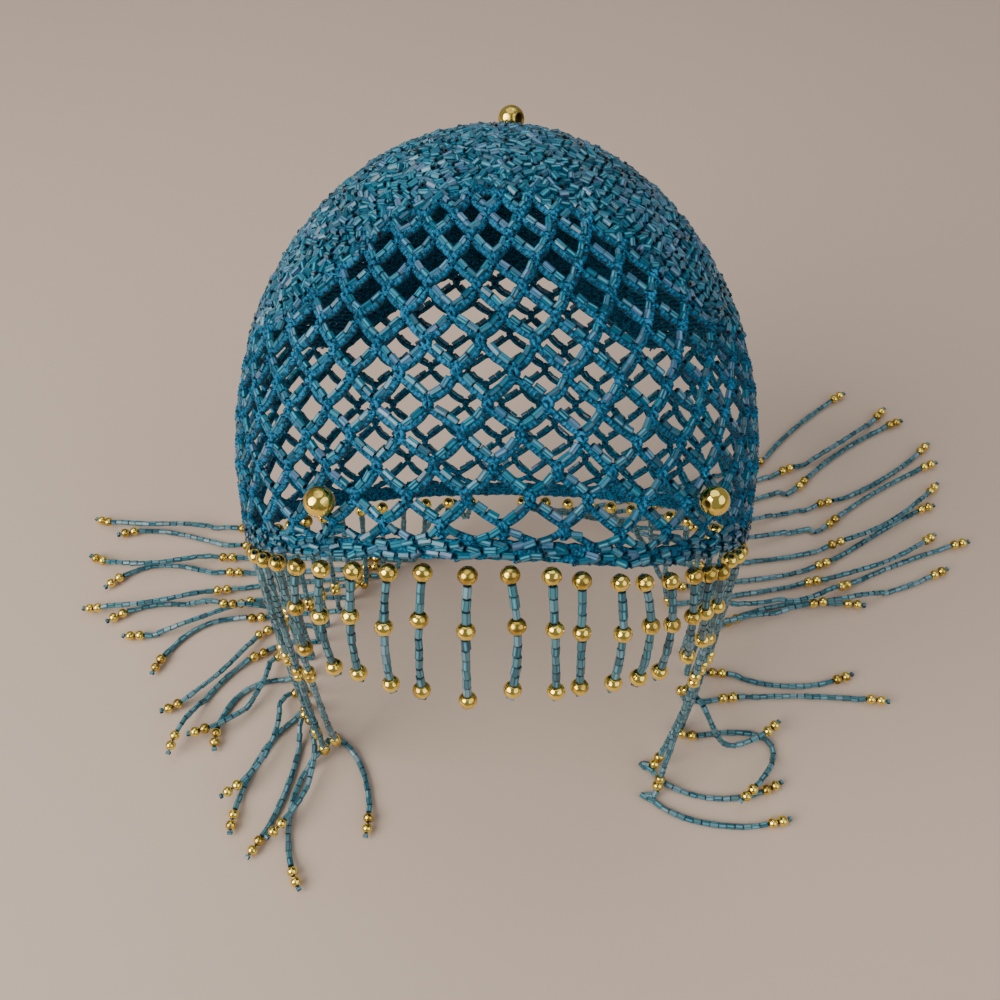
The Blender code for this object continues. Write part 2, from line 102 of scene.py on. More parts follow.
# The big gold beads: node, way of the hole, name of the size, and width of the hole
BigBead = namedtuple("BigBead", "node axis size hole")
BIG_BEADS = (
    BigBead("crown_bead", (0.72, -0.60, 0.35), "crown_bead", 3.8 * MM),
    BigBead("temple_bead_left", (0.80, -0.52, -0.30), "temple_bead", 2.0 * MM),
    BigBead("temple_bead_right", (0.70, 0.60, -0.38), "temple_bead", 2.0 * MM),
)

# Where the strings start
BACKING_DEPTH = 1.2 * MM
BACKING_MIDDLE = 1.6 * MM
STAND_OFF = 2.5 * MM
STAND_OFF_RUN = 3.0 * MM
FIRST_BEAD_DROP = 2.2 * MM
FINE_STEPS = 160

# Short front strings: three rim beads with a run of bugles between them. In millimetres: the drop to the
# middle of the first bead, the upper and lower run, and how far the other two beads hang to the right.
FrontString = namedtuple("FrontString", "azimuth drop upper lower middle_sway end_sway")
FRONT_STRINGS = (
    FrontString(-40.9, 1.8, 9.7, 14.0, 0.6, 1.5),
    FrontString(-33.8, 1.7, 10.5, 14.6, 1.1, 4.9),
    FrontString(-26.2, 1.7, 8.7, 15.9, 0.7, 3.1),
    FrontString(-19.0, 1.8, 10.9, 15.3, 0.3, 2.3),
    FrontString(-12.7, 1.6, 7.9, 19.2, 0.1, 1.1),
    FrontString(-4.9, 2.1, 10.1, 19.0, 0.0, 0.6),
    FrontString(2.2, 1.7, 8.9, 16.0, 1.4, 0.3),
    FrontString(9.3, 1.6, 9.7, 16.4, 0.0, 0.1),
    FrontString(14.6, 2.2, 9.7, 14.3, -1.0, -1.8),
    FrontString(22.0, 2.3, 10.6, 13.2, -0.5, -3.1),
    FrontString(27.2, 2.4, 9.5, 14.8, 0.7, -2.5),
    FrontString(33.3, 2.6, 10.3, 14.5, -0.3, -3.1),
    FrontString(39.9, 2.6, 10.1, 16.8, -0.7, 0.7),
    FrontString(44.6, 3.4, 9.9, 13.0, -0.8, 1.8),
    FrontString(49.8, 4.2, 10.6, 14.0, 0.2, 1.0),
)

# Long strings, which hang from the rim and lie spread on the level surface at FLOOR_Z
FLOOR_Z = HOLLOW_CENTRE.z - 123.0 * MM
LYING_Z = FLOOR_Z + 2.0 * MM
LONG_LENGTH = 196.0 * MM
LEFT_FIRST_AZIMUTH = -49.5
RIGHT_FIRST_AZIMUTH = 57.0
LONG_SPACING = 7.2
LongString = namedtuple("LongString", "middle_x middle_y end_x end_y bow_mm")
LEFT_STRINGS = (
    LongString(-61, -45, -48, -84, 6),
    LongString(-66, -50, -69, -102, -9),
    LongString(-71, -44, -83, -84, 7),
    LongString(-76, -42, -90, -91, 4),
    LongString(-79, -37, -97, -82, -5),
    LongString(-85, -32, -102, -69, 7),
    LongString(-84, -20, -108, -50, -10),
    LongString(-91, -14, -120, -44, 9),
    LongString(-95, -8, -125, -54, -5),
    LongString(-98, 0, -133, -34, 6),
    LongString(-101, 8, -139, -19, -9),
    LongString(-104, 16, -156, 0, 5),
    LongString(-112, 11, -163, 6, -8),
    LongString(-116, 22, -175, 13, 4),
    LongString(-122, 31, -168, 22, -8),
    LongString(-124, 38, -178, 40, 6),
    LongString(-121, 46, -169, 50, -5),
    LongString(-128, 55, -181, 60, 4),
)
RIGHT_STRINGS = (
    LongString(58, -69, 108, -76, -6),
    LongString(58, -57, 107, -62, -9),
    LongString(76, -44, 88, -72, 26),
    LongString(72, -36, 109, -39, -11),
    LongString(84, -29, 156, -30, 3),
    LongString(96, -18, 144, -17, -5),
    LongString(100, 8, 156, 14, 4),
    LongString(128, 13, 195, 33, -3),
    LongString(136, 17, 208, 47, 3),
    LongString(138, 27, 194, 51, -4),
    LongString(143, 36, 198, 67, 3),
    LongString(148, 45, 203, 80, -4),
    LongString(149, 57, 206, 92, 3),
    LongString(147, 68, 205, 104, -4),
    LongString(140, 79, 196, 118, 4),
    LongString(135, 88, 190, 127, -4),
    LongString(126, 95, 172, 136, 3),
)
CROSSING_DISTANCE = 3.3 * MM
LIFT_STEP = 0.6 * MM
LIFT_ROUNDS = 40
CROSSING_REACH = 16.0 * MM

# The soft lights, and the camera, whose dip is in degrees below the horizon
Light = namedtuple("Light", "name place size power colour")
LIGHTS = (
    Light("key", (-0.85, -0.50, 0.62), 1.05, 21.0, (1.0, 0.97, 0.93)),
    Light("fill", (0.95, -0.60, 0.70), 1.5, 8.0, (0.93, 0.96, 1.0)),
    Light("top", (-0.1, 0.50, 1.25), 1.5, 7.0, (1.0, 0.99, 0.97)),
)
ROOM_COLOUR = (0.80, 0.83, 0.88, 1.0)
ROOM_LIGHT = 0.30
FLOOR_REACH = 3.0
FLOOR_CLEARANCE = 0.6 * MM
CAMERA_PLACE = (0.0, -0.2027, HOLLOW_CENTRE.z + 0.2418)
CAMERA_DIP = 53.1
CAMERA_LENS = 36.0
CAMERA_SHIFT = 0.003

# Colour stops of the glass, from the deepest bead to the palest: the net's, then the strings'
NET_TONES = (
    (0.00, (0.001, 0.046, 0.084)),
    (0.25, (0.003, 0.084, 0.139)),
    (0.50, (0.007, 0.126, 0.197)),
    (0.66, (0.013, 0.168, 0.244)),
    (0.78, (0.034, 0.126, 0.218)),
    (0.90, (0.084, 0.160, 0.286)),
    (1.00, (0.067, 0.302, 0.378)),
)
STRING_TONES = (
    (0.00, (0.010, 0.066, 0.094)),
    (0.30, (0.025, 0.111, 0.143)),
    (0.55, (0.049, 0.160, 0.193)),
    (0.75, (0.086, 0.213, 0.246)),
    (0.90, (0.123, 0.221, 0.271)),
    (1.00, (0.197, 0.353, 0.394)),
)


class CapSizes(bpy.types.PropertyGroup):
    """Sizes of what the cap is made of."""
    bugle_length: FloatProperty(name="Bugle length", description="Length of one glass bugle",
                                default=2.9 * MM, unit="LENGTH")
    bugle_diameter: FloatProperty(name="Bugle diameter", description="Width of one glass bugle",
                                  default=1.72 * MM, unit="LENGTH")
    bugle_hole: FloatProperty(name="Bugle hole", description="Hole along a bugle",
                              default=0.7 * MM, unit="LENGTH")
    thread: FloatProperty(name="Thread", description="Thickness of the crochet thread",
                          default=1.85 * MM, unit="LENGTH")
    cord_thread: FloatProperty(name="String thread", description="Thickness of the thread in the strings",
                               default=0.6 * MM, unit="LENGTH")
    columns: IntProperty(name="Columns", description="Loops in one round of the net", default=34)
    rim_bead: FloatProperty(name="Rim bead", description="Gold beads below the band", default=4.7 * MM,
                            unit="LENGTH")
    pair_bead: FloatProperty(name="Pair bead", description="Gold beads in pairs on the long strings",
                             default=4.0 * MM, unit="LENGTH")
    crown_bead: FloatProperty(name="Crown bead", description="Gold bead at the crown", default=8.0 * MM,
                              unit="LENGTH")
    temple_bead: FloatProperty(name="Temple bead", description="Gold beads above the band", default=7.4 * MM,
                               unit="LENGTH")
    bead_hole: FloatProperty(name="Bead hole", description="Hole of a small gold bead, as a share of it",
                             default=0.34, subtype="FACTOR")


class CapColours(bpy.types.PropertyGroup):
    """Colours of the finishes."""
    thread: FloatVectorProperty(name="Thread", description="Crochet thread", size=4, subtype="COLOR",
                                default=(0.006, 0.122, 0.232, 1.0))
    gold: FloatVectorProperty(name="Gold", description="Mirror plating of the round beads", size=4,
                              subtype="COLOR", default=(1.000, 0.740, 0.150, 1.0))
    # Partly wear of the plating, partly painted dark reflection patches
    gold_wear_and_reflection: FloatVectorProperty(name="Worn gold", description="Plating where it is thin", size=4,
                                   subtype="COLOR", default=(0.400, 0.250, 0.045, 1.0))
    floor: FloatVectorProperty(name="Floor", description="The pale floor", size=4, subtype="COLOR",
                               default=(0.525, 0.400, 0.312, 1.0))


class Wire:
    """An output of a node that can stand in a sum or a product."""

    def __init__(self, graph, socket):
        self.graph = graph
        self.socket = socket

    def _math(self, operation, first, second):
        return self.graph.add("ShaderNodeMath", {"operation": operation}, {0: first, 1: second})

    def __add__(self, other):
        return self._math("ADD", self, other)

    def __radd__(self, other):
        return self._math("ADD", other, self)

    def __sub__(self, other):
        return self._math("SUBTRACT", self, other)

    def __rsub__(self, other):
        return self._math("SUBTRACT", other, self)

    def __mul__(self, other):
        return self._math("MULTIPLY", self, other)

    def sine(self):
        return self._math("SINE", self, 0.0)

    def absolute(self):
        return self._math("ABSOLUTE", self, 0.0)

    def between(self, low, high):
        """0 below low, 1 above high, smooth in between."""
        return self.graph.add("ShaderNodeMapRange", {"interpolation_type": "SMOOTHSTEP"},
                              {"Value": self, "From Min": low, "From Max": high}, "Result")

    def part_after_point(self):
        return self._math("FRACT", self, 0.0)

    def whole_part(self):
        return self._math("FLOOR", self, 0.0)


def pick_socket(sockets, key):
    if isinstance(key, int):
        return sockets[key]
    return next(socket for socket in sockets if socket.name == key and socket.enabled)


class Graph:
    """A node tree that is written as expressions."""

    def __init__(self, tree):
        self.tree = tree

    def add(self, kind, settings=None, values=None, out=0):
        node = self.tree.nodes.new(kind)
        for name, value in (settings or {}).items():
            if name == "stops":
                while len(node.color_ramp.elements) > 1:
                    node.color_ramp.elements.remove(node.color_ramp.elements[-1])
                for place, (position, colour) in enumerate(value):
                    stops = node.color_ramp.elements
                    stop = stops[0] if place == 0 else stops.new(position)
                    stop.position = position
                    stop.color = (*colour, 1.0)
            else:
                setattr(node, name, value)
        for key, value in (values or {}).items():
            socket = pick_socket(node.inputs, key)
            if isinstance(value, Wire):
                self.tree.links.new(value.socket, socket)
            else:
                socket.default_value = value
        return Wire(self, pick_socket(node.outputs, out))

    def mix(self, factor, first, second):
        return self.add("ShaderNodeMix", {"data_type": "RGBA"},
                        {"Factor": factor, "A": first, "B": second}, "Result")

    def attribute(self, name):
        return self.add("ShaderNodeAttribute", {"attribute_name": name}, out="Fac")

    def noise(self, scale, detail=2.0):
        values = {"Scale": scale, "Detail": detail, "Vector": self.add("ShaderNodeTexCoord", out="Object")}
        return self.add("ShaderNodeTexNoise", None, values, "Fac")

    def bump(self, height, strength, distance):
        values = {"Height": height, "Strength": strength, "Distance": distance}
        return self.add("ShaderNodeBump", None, values, "Normal")

    def named(self, name, kind):
        """An attribute that the guide carries."""
        return self.add("GeometryNodeInputNamedAttribute", {"data_type": kind}, {"Name": name}, "Attribute")

    def chance(self, low, high, seed):
        return self.add("FunctionNodeRandomValue", {"data_type": "FLOAT"},
                        {"Min": low, "Max": high, "Seed": seed}, "Value")

    def store(self, geometry, domain, name, value):
        return self.add("GeometryNodeStoreNamedAttribute", {"data_type": "FLOAT", "domain": domain},
                        {"Geometry": geometry, "Name": name, "Value": value})


def new_finish(name):
    """A new material with a Principled shader, and its graph."""
    made = bpy.data.materials.new(name)
    made.use_nodes = True
    made.node_tree.nodes.clear()
    graph = Graph(made.node_tree)
    shader = graph.add("ShaderNodeBsdfPrincipled")
    output = made.node_tree.nodes.new("ShaderNodeOutputMaterial")
    made.node_tree.links.new(shader.socket, output.inputs["Surface"])
    return made, graph, shader.socket.node


def set_shader(graph, shader, values):
    for key, value in values.items():
        socket = shader.inputs[key]
        if isinstance(value, Wire):
            graph.tree.links.new(value.socket, socket)
        else:
            socket.default_value = value


def glass_finish(name, tones):
    """Iridescent cut glass: a tone for each bugle, a painted highlight on some sides, and dark painted shade
    on the edges, at the ends and in the bore.
    """
    made, graph, shader = new_finish(name)
    tone = graph.attribute("tone")
    reach = graph.attribute("reach")
    turned = graph.attribute("facet") * 6.0
    cloud = graph.noise(45.0, 1.0)
    shade = tone * 0.80 + cloud * 0.5 - 0.15
    base = graph.add("ShaderNodeValToRGB", {"stops": tones}, {"Fac": shade}, "Color")
    from_middle = (turned.part_after_point() - 0.5).absolute()
    side_chance = (turned.whole_part() * 2.4 + tone * 41.0).sine() * 0.5 + 0.5
    # Painted highlight: a lit stripe along the middle of some facets, kept off the ends, mixed in below in a
    # pale teal
    highlight_streak = (1.0 - from_middle.between(0.08, 0.30)) * side_chance.between(0.35, 0.95)
    middle = reach.between(0.06, 0.20) * (1.0 - reach.between(0.80, 0.94))
    lit = graph.mix(highlight_streak * middle * 0.60, base, (0.110, 0.420, 0.540, 1.0))
    # A dark colour for painted shade on the facet edges and at the ends
    dark = tuple(0.30 * c for c in tones[0][1]) + (1.0,)
    # Painted shade along the edges between facets
    edge_shaded = graph.mix(from_middle.between(0.32, 0.50) * 0.75, lit, dark)
    # Painted shade near the ends of each bugle and on its end faces
    ends = (1.0 - reach.between(0.0, 0.09)) + reach.between(0.91, 1.0)
    shaded = graph.mix(ends * 0.65, edge_shaded, dark)
    # Painted shade, near black, inside the bore; its roughness is raised there too
    bore = reach.between(1.02, 1.30)
    colour = graph.mix(bore * 0.85, shaded, (0.001, 0.012, 0.022, 1.0))
    fine = graph.noise(900.0, 2.0)
    bump = graph.bump(fine, 0.25, 0.15 * MM)
    set_shader(graph, shader, {"Base Color": colour, "Roughness": 0.24 + fine * 0.16 + bore * 0.3,
                               "Specular IOR Level": 0.40, "Coat Weight": 0.15, "Coat Roughness": 0.06,
                               "Normal": bump})
    return made


def thread_finish(name, colour):
    """Cotton thread: a row of stitches along its run with painted shade between them, fine fibres with
    painted glints, and uneven dye.
    """
    made, graph, shader = new_finish(name)
    run = graph.attribute("run")
    fibres = graph.noise(2300.0, 3.0)
    strands = graph.noise(1000.0, 2.0)
    stitch = (run * (2 * math.pi / (1.1 * MM)) + strands * 5.0).sine() * 0.5 + 0.5
    dye = graph.noise(60.0, 2.0)
    # A darker colour: for random mottling, and for painted shade between stitches
    dark = tuple(0.22 * c for c in colour[:3]) + (1.0,)
    # A paler colour: for the uneven dye, and for painted glints on the fibres
    light = tuple(min(1.0, 2.3 * c + 0.01) for c in colour[:3]) + (1.0,)
    body = graph.mix(dye.between(0.35, 0.75) * 0.6, tuple(colour), light)
    mottled = graph.mix(strands.between(0.42, 0.62), body, dark)
    # Painted glints: small pale flecks where the fibre noise is high
    glint_flecked = graph.mix(fibres.between(0.58, 0.70) * 0.8, mottled, light)
    # Painted shade in the grooves between stitches
    shaded = graph.mix((1.0 - stitch) * 0.45, glint_flecked, dark)
    bump = graph.bump(stitch * 0.4 + fibres * 0.6 + strands * 0.6, 1.0, 0.5 * MM)
    set_shader(graph, shader, {"Base Color": shaded, "Roughness": 0.50 + fibres * 0.25, "Normal": bump,
                               "Specular IOR Level": 0.22})
    return made


def gold_finish(colours):
    """Mirror plating with soft dents; darker, duller patches that are partly wear and partly painted dark
    reflection; and painted shade, near black and duller, at the holes.
    """
    made, graph, shader = new_finish("plated_gold")
    reach = graph.attribute("reach")
    tone = graph.attribute("tone")
    patch = graph.noise(380.0, 2.0)
    # Darker, duller patches: partly wear, partly painted dark reflection
    wear_and_dark_reflection = (patch * 0.8 + tone * 0.30).between(0.52, 0.68)
    # Painted shade, near black, around and in the holes; metal and gloss are lowered there too
    hole = 1.0 - reach.between(0.0, 0.14)
    colour = graph.mix(wear_and_dark_reflection * 0.8, tuple(colours.gold), tuple(colours.gold_wear_and_reflection))
    colour = graph.mix(hole * 0.8, colour, (0.060, 0.035, 0.010, 1.0))
    bump = graph.bump(graph.noise(520.0, 1.5), 0.32, 0.7 * MM)
    set_shader(graph, shader, {"Base Color": colour, "Metallic": 1.0 - hole * 0.4,
                               "Roughness": 0.09 + wear_and_dark_reflection * 0.16 + hole * 0.3, "Normal": bump})
    return made


def floor_finish(colour):
    """Plain and pale, with a faint cloud and grain."""
    made, graph, shader = new_finish("pale_floor")
    cloud = graph.noise(2.2, 3.0)
    grain = graph.noise(260.0, 3.0)
    darker = tuple(0.93 * c for c in colour[:3]) + (1.0,)
    bump = graph.bump(grain, 0.05, 0.4 * MM)
    set_shader(graph, shader, {"Base Color": graph.mix(cloud * 0.7 + grain * 0.3, tuple(colour), darker),
                               "Roughness": 0.72 + grain * 0.1, "Normal": bump})
    return made


FINISHES = {}


def finish(name):
    """Each finish is made once and shared."""
    colours = bpy.context.scene.bead_cap_colours
    if name not in FINISHES:
        makers = {
            "net_glass": lambda: glass_finish("net_glass", NET_TONES),
            "string_glass": lambda: glass_finish("string_glass", STRING_TONES),
            "thread": lambda: thread_finish("crochet_thread", colours.thread),
            "gold": lambda: gold_finish(colours),
            "floor": lambda: floor_finish(colours.floor),
        }
        FINISHES[name] = makers[name]()
    return FINISHES[name]


def new_tree(name, sockets):
    """A geometry tree with named inputs, its graph and the wires of its inputs."""
    tree = bpy.data.node_groups.new(name, "GeometryNodeTree")
    for label, kind in sockets:
        tree.interface.new_socket(label, in_out="INPUT", socket_type=kind)
    tree.interface.new_socket("Result", in_out="OUTPUT", socket_type="NodeSocketGeometry")
    graph = Graph(tree)
    given = tree.nodes.new("NodeGroupInput")
    return graph, {label: Wire(graph, given.outputs[label]) for label, _ in sockets}


def end_tree(graph, geometry, material):
    """Every tree ends in real geometry with its finish."""
    real = graph.add("GeometryNodeRealizeInstances", None, {"Geometry": geometry})
    done = graph.add("GeometryNodeSetMaterial", None, {"Geometry": real, "Material": material})
    output = graph.tree.nodes.new("NodeGroupOutput")
    graph.tree.links.new(done.socket, output.inputs["Result"])
    return graph.tree


def set_out_tree():
    """One shape on each place, turned along the place's axis and spun by chance."""
    graph, given = new_tree("set_out_pieces", (
        ("Places", "NodeSocketGeometry"), ("Shape", "NodeSocketObject"), ("Unevenness", "NodeSocketFloat"),
        ("Spin", "NodeSocketFloat"), ("Seed", "NodeSocketInt"), ("Finish", "NodeSocketMaterial")))
    shape = graph.add("GeometryNodeObjectInfo", None, {"Object": given["Shape"]}, "Geometry")
    turn = graph.named("turn", "FLOAT_VECTOR")
    facing_way = graph.add("FunctionNodeEulerToRotation", None, {"Euler": turn})
    angle = graph.chance(-1.0, 1.0, given["Seed"]) * given["Spin"]
    spin = graph.add("FunctionNodeAxisAngleToRotation", None, {"Axis": (0.0, 0.0, 1.0), "Angle": angle})
    turned = graph.add("FunctionNodeRotateRotation", {"rotation_space": "LOCAL"},
                       {"Rotation": facing_way, "Rotate By": spin})
    growth = graph.chance(-1.0, 1.0, given["Seed"] + 11.0) * given["Unevenness"] + 1.0
    size = graph.add("ShaderNodeVectorMath", {"operation": "SCALE"},
                     {0: graph.named("stretch", "FLOAT_VECTOR"), "Scale": growth}, "Vector")
    placed = graph.add("GeometryNodeInstanceOnPoints", None,
                       {"Points": given["Places"], "Instance": shape, "Rotation": turned, "Scale": size})
    toned = graph.store(placed, "INSTANCE", "tone", graph.chance(0.0, 1.0, given["Seed"] + 23.0))
    return end_tree(graph, toned, given["Finish"])


def spun_thread_tree():
    """A round thread along each route, as thick as the route says."""
    graph, given = new_tree("spun_thread", (
        ("Routes", "NodeSocketGeometry"), ("Thickness", "NodeSocketFloat"), ("Sides", "NodeSocketInt"),
        ("Finish", "NodeSocketMaterial")))
    curve = graph.add("GeometryNodeMeshToCurve", None, {"Mesh": given["Routes"]})
    wide = graph.add("GeometryNodeSetCurveRadius", None,
                     {"Curve": curve, "Radius": graph.named("thick", "FLOAT")})
    run = graph.store(wide, "POINT", "run", graph.add("GeometryNodeSplineParameter", out="Length"))
    ring = graph.add("GeometryNodeCurvePrimitiveCircle", None,
                     {"Resolution": given["Sides"], "Radius": given["Thickness"] * 0.5}, "Curve")
    tube = graph.add("GeometryNodeCurveToMesh", None,
                     {"Curve": run, "Profile Curve": ring, "Fill Caps": True})
    smooth = graph.add("GeometryNodeSetShadeSmooth", None, {"Geometry": tube})
    return end_tree(graph, smooth, given["Finish"])


TREES = {}


def grow(name, guide, tree_maker, values):
    """Runs a tree on a guide object and keeps the result as a plain mesh piece."""
    if tree_maker not in TREES:
        TREES[tree_maker] = tree_maker()
    tree = TREES[tree_maker]
    modifier = guide.modifiers.new("grow", "NODES")
    modifier.node_group = tree
    for item in tree.interface.items_tree:
        if item.in_out == "INPUT" and item.name in values:
            modifier[item.identifier] = values[item.name]
    guide.update_tag()
    bpy.context.view_layer.update()
    graph = bpy.context.evaluated_depsgraph_get()
    mesh = bpy.data.meshes.new_from_object(guide.evaluated_get(graph), depsgraph=graph)
    mesh.name = name
    bpy.data.objects.remove(guide, do_unlink=True)
    return link(name, mesh)


def link(name, mesh):
    made = bpy.data.objects.new(name, mesh)
    bpy.context.scene.collection.objects.link(made)
    return made


Place = namedtuple("Place", "spot along out stretch")


def facing(along, out):
    """A turn that brings Z along the first direction and X towards the second."""
    along = along.normalized()
    side = (out - along * out.dot(along)).normalized()
    return Matrix((side, along.cross(side), along)).transposed().to_euler()


def set_out(name, places, shape, finish_name, seed, unevenness=0.06, spin=0.6):
    """A piece made of one shape on each place."""
    mesh = bpy.data.meshes.new(name + "_places")
    mesh.from_pydata([tuple(place.spot) for place in places], [], [])
    turn = mesh.attributes.new("turn", "FLOAT_VECTOR", "POINT")
    stretch = mesh.attributes.new("stretch", "FLOAT_VECTOR", "POINT")
    turn.data.foreach_set("vector", [c for place in places for c in facing(place.along, place.out)])
    stretch.data.foreach_set("vector", [c for place in places for c in place.stretch])
    return grow(name, link(name + "_places", mesh), set_out_tree,
                {"Shape": shape, "Unevenness": unevenness, "Spin": spin, "Seed": seed,
                 "Finish": finish(finish_name)})


def spin_thread(name, routes, thickness, sides=5, finish_name="thread", thick=None):
    """A piece of thread along each route."""
    vertices, edges, thicks = [], [], []
    for number, route in enumerate(routes):
        first = len(vertices)
        vertices += [tuple(point) for point in route]
        edges += [(first + k, first + k + 1) for k in range(len(route) - 1)]
        thicks += thick[number] if thick else [1.0] * len(route)
    mesh = bpy.data.meshes.new(name + "_routes")
    mesh.from_pydata(vertices, edges, [])
    mesh.attributes.new("thick", "FLOAT", "POINT").data.foreach_set("value", thicks)
    return grow(name, link(name + "_routes", mesh), spun_thread_tree,
                {"Thickness": thickness, "Sides": sides, "Finish": finish(finish_name)})


def joined(name, pieces):
    """Several pieces made one."""
    with bpy.context.temp_override(active_object=pieces[0], object=pieces[0], selected_objects=pieces,
                                   selected_editable_objects=pieces):
        bpy.ops.object.join()
    pieces[0].name = name
    pieces[0].data.name = name
    return pieces[0]


def clear_away(*shapes):
    for shape in shapes:
        bpy.data.objects.remove(shape, do_unlink=True)


def hand_over(piece, slot, *nodes):
    """The piece rides on the cap and stands for its nodes."""
    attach(piece, "root")
    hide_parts(*nodes)


def mesh_with_marks(name, vertices, faces, marks, smooth):
    """A mesh whose face corners carry how far along and how far round they are."""
    mesh = bpy.data.meshes.new(name)
    mesh.from_pydata([tuple(v) for v in vertices], [], faces)
    for label, place in (("reach", 0), ("facet", 1)):
        layer = mesh.attributes.new(label, "FLOAT", "CORNER")
        layer.data.foreach_set("value", [corner[place] for face in marks for corner in face])
    mesh.polygons.foreach_set("use_smooth", [smooth] * len(faces))
    return mesh


def ring_points(radius, height, sides):
    turns = [2 * math.pi * s / sides for s in range(sides)]
    return [(radius * math.cos(turn), radius * math.sin(turn), height) for turn in turns]


def turned_faces(reaches, sides):
    """Faces from ring to ring and back to the first, marked with how far along their two edges are."""
    faces, marks = [], []
    for r, (low, high) in enumerate(reaches):
        n = (r + 1) % len(reaches)
        for s in range(sides):
            t = (s + 1) % sides
            here, there = s / sides, (s + 1) / sides
            faces.append((r * sides + s, r * sides + t, n * sides + t, n * sides + s))
            marks.append(((low, here), (low, there), (high, there), (high, here)))
    return faces, marks


def bugle_shape(sizes, sides=6):
    """A short cut tube along Z: flat sides, flat ends and a bore."""
    top, outer, inner = sizes.bugle_length / 2, sizes.bugle_diameter / 2, sizes.bugle_hole / 2
    vertices = []
    for height, radius in ((-top, outer), (top, outer), (top, inner), (-top, inner)):
        vertices += ring_points(radius, height, sides)
    faces, marks = turned_faces(((0.0, 1.0), (1.0, 1.5), (1.5, 1.5), (1.5, 1.0)), sides)
    return link("bugle_shape", mesh_with_marks("bugle_shape", vertices, faces, marks, False))


def bead_shape(diameter, hole, sides=16, steps=9):
    """A round bead drilled along Z, with a slightly sunken rim at each hole."""
    radius = diameter / 2
    start = math.asin(hole / diameter)
    profile = []
    for k in range(steps + 1):
        turn = start + (math.pi - 2 * start) * k / steps
        profile.append((radius * math.sin(turn), -radius * math.cos(turn), k / steps))
    sunk = 0.72 * profile[-1][1]
    profile += [(0.86 * hole / 2, sunk, 0.0), (0.86 * hole / 2, -sunk, 0.0)]
    vertices = [point for r, height, _ in profile for point in ring_points(r, height, sides)]
    from_hole = [min(way, 1.0 - way) * 2 for _, _, way in profile]
    faces, marks = turned_faces(list(zip(from_hole, from_hole[1:] + from_hole[:1])), sides)
    return link("bead_shape", mesh_with_marks("bead_shape", vertices, faces, marks, True))


def knot_shape(width, thickness, strand, steps=21, sides=4):
    """Thread in three crossed loops along Z, over and under itself; a place stretches it to its length."""
    turns = [2 * math.pi * k / steps for k in range(steps)]
    centres = [Vector((thickness * math.sin(4 * turn), width / 2 * math.cos(3 * turn), math.sin(turn) / 2))
               for turn in turns]
    vertices, faces, marks = [], [], []
    for k, centre in enumerate(centres):
        along = (centres[(k + 1) % steps] - centres[k - 1]).normalized()
        side = along.cross(Vector((1.0, 0.0, 0.0))).normalized()
        other = along.cross(side)
        for s in range(sides):
            turn = 2 * math.pi * s / sides
            vertices.append(centre + (side * math.cos(turn) + other * math.sin(turn)) * strand / 2)
    for k in range(steps):
        n = (k + 1) % steps
        here, there = k / steps, (k + 1) / steps
        for s in range(sides):
            t = (s + 1) % sides
            faces.append((k * sides + s, n * sides + s, n * sides + t, k * sides + t))
            marks.append(((here, 0.0), (there, 0.0), (there, 1.0), (here, 1.0)))
    mesh = mesh_with_marks("knot_shape", vertices, faces, marks, True)
    bm = bmesh.new()
    bm.from_mesh(mesh)
    bmesh.ops.recalc_face_normals(bm, faces=bm.faces)
    bm.to_mesh(mesh)
    bm.free()
    return link("knot_shape", mesh)


def rim_polar(azimuth):
    """Angle from the pole to the rim; the rim rises in front and sags once beside its middle."""
    rise = RIM_RISE_IN_FRONT * max(0.0, math.cos(azimuth)) ** 2
    beside = (math.degrees(azimuth) - RIM_SAG_AZIMUTH) / RIM_SAG_SPREAD
    return math.radians(RIM_AT_SIDE - rise + RIM_SAG * math.exp(-beside * beside))


def hollow_size(lift):
    return Vector((HOLLOW_HALF_WIDTH + lift, HOLLOW_HALF_DEPTH + lift, HOLLOW_HALF_HEIGHT + lift))


def cap_point(fraction, azimuth_degrees, lift):
    """A point at a fraction of the way from pole to rim, lifted off the hollow."""
    azimuth = math.radians((azimuth_degrees + 180.0) % 360.0 - 180.0)
    polar = fraction * rim_polar(azimuth)
    x = math.sin(polar) * math.sin(azimuth)
    y = -math.sin(polar) * math.cos(azimuth)
    z = math.cos(polar)
    back = y * math.cos(CAP_TILT) + z * math.sin(CAP_TILT)
    up = -y * math.sin(CAP_TILT) + z * math.cos(CAP_TILT)
    return HOLLOW_CENTRE + Vector((x, back, up)) * hollow_size(lift)


def cap_normal(fraction, azimuth):
    return (cap_point(fraction, azimuth, 1.0 * MM) - cap_point(fraction, azimuth, 0.0)).normalized()


def below_rim(distance):
    return 1.0 + distance / CAP_LENGTH


def row_fraction(row):
    """Height of a row of knots; rows below zero are the band's."""
    return NET_FOOT - row * NET_ROW_STEP if row >= 0 else BAND_ROWS[-1 - row]


def knot_place(row, column, columns):
    """Fraction and azimuth of a knot: the columns lean a little and crowd in front towards the crown."""
    raw = (column + 0.5 * (row % 2)) * 360.0 / columns
    crowd = min(0.30, 0.03 + 0.0022 * max(row, 0) ** 2)
    azimuth = raw - math.degrees(crowd) * math.sin(math.radians(raw)) + FOOT_TURN - ROW_TURN * row
    chance = random.Random(9176 * row + column % columns)
    stray = 0.3 if row < 0 else 1.0
    return (row_fraction(row) + stray * chance.uniform(-0.0022, 0.0022),
            azimuth + stray * chance.uniform(-0.32, 0.32))


def close_foot(azimuth):
    """Where the close crown ends: it reaches lower at the two sides."""
    return CROWN_FOOT + CROWN_FOOT_AT_SIDES * min(1.0, CROWN_SPREAD * math.sin(math.radians(azimuth)) ** 2)


def in_close_crown(row, column, columns):
    fraction, azimuth = knot_place(row, column, columns)
    return fraction < close_foot(azimuth) - 0.02


def upper_columns(row, column):
    """The two knots in the row above that a loop hangs between."""
    return (column - 1, column) if row % 2 == 0 else (column, column + 1)


